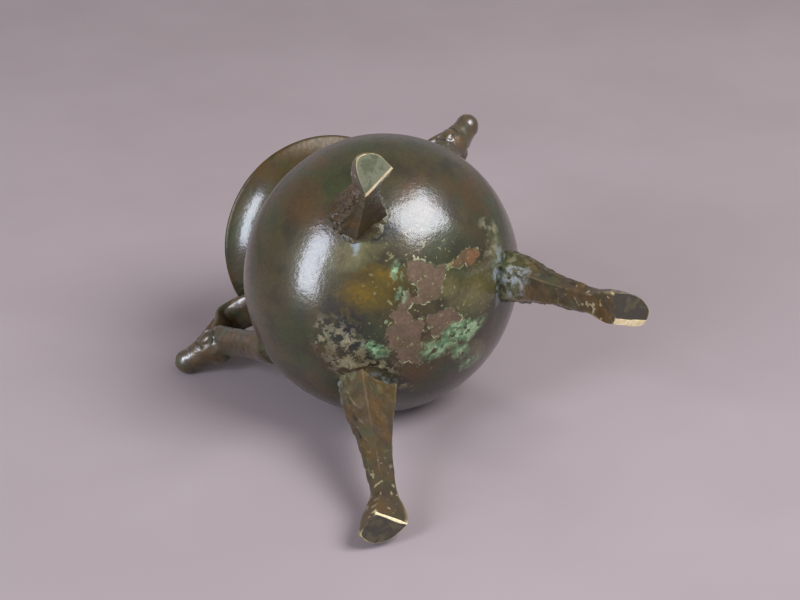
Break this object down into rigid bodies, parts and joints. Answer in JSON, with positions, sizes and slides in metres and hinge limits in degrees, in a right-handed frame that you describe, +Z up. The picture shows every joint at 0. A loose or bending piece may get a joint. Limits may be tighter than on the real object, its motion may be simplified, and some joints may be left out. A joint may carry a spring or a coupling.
{
  "type": "inkwell",
  "caption": "Cast bronze inkwell: a round bowl with a flared mouth on hoofed tripod legs, with animal-head lug handles and a lift-out glazed liner.",
  "frame": {"origin": "the middle of the inkwell's footprint, on the table under the hooves; the bowl's own axis is 7.9 mm behind it, at y = -0.0079", "axes": "+Z up out of the mouth, +X through the right-hand lug, +Y towards the front leg"},
  "size_m": [0.1056, 0.0858, 0.0992],
  "materials": {
    "bowl_bronze": "polished dark olive-brown patina over cast bronze",
    "leg_bronze": "brown patina, worn to bare metal at the hoof edges",
    "handle_bronze": "glossy dark patina, worn on the high points",
    "solder": "dull soft solder with green corrosion",
    "pin_bronze": "hammered, dull",
    "liner_glaze": "cream glaze, ink-stained inside"
  },
  "bodies": {
    "inkwell": {"bowl": "bowl_bronze", "leg_right": "leg_bronze", "leg_front": "leg_bronze", "leg_left": "leg_bronze", "leg_solder_right": "solder", "leg_solder_front": "solder", "leg_solder_left": "solder", "leg_pin_right": "pin_bronze", "leg_pin_front": "pin_bronze", "leg_pin_left": "pin_bronze", "handle_right": "handle_bronze", "handle_left": "handle_bronze", "handle_root_solder_right": "solder", "handle_root_solder_left": "solder", "handle_lip_solder_right": "solder", "handle_lip_solder_left": "solder", "handle_pin_right": "pin_bronze", "handle_pin_left": "pin_bronze"},
    "liner": {"ink_liner": "liner_glaze"}
  },
  "joints": [
    {"name": "liner_lift", "type": "slide", "parent": "inkwell", "child": "liner", "axis": [0, 0, 1], "range_m": [0, 0.056]}
  ]
}
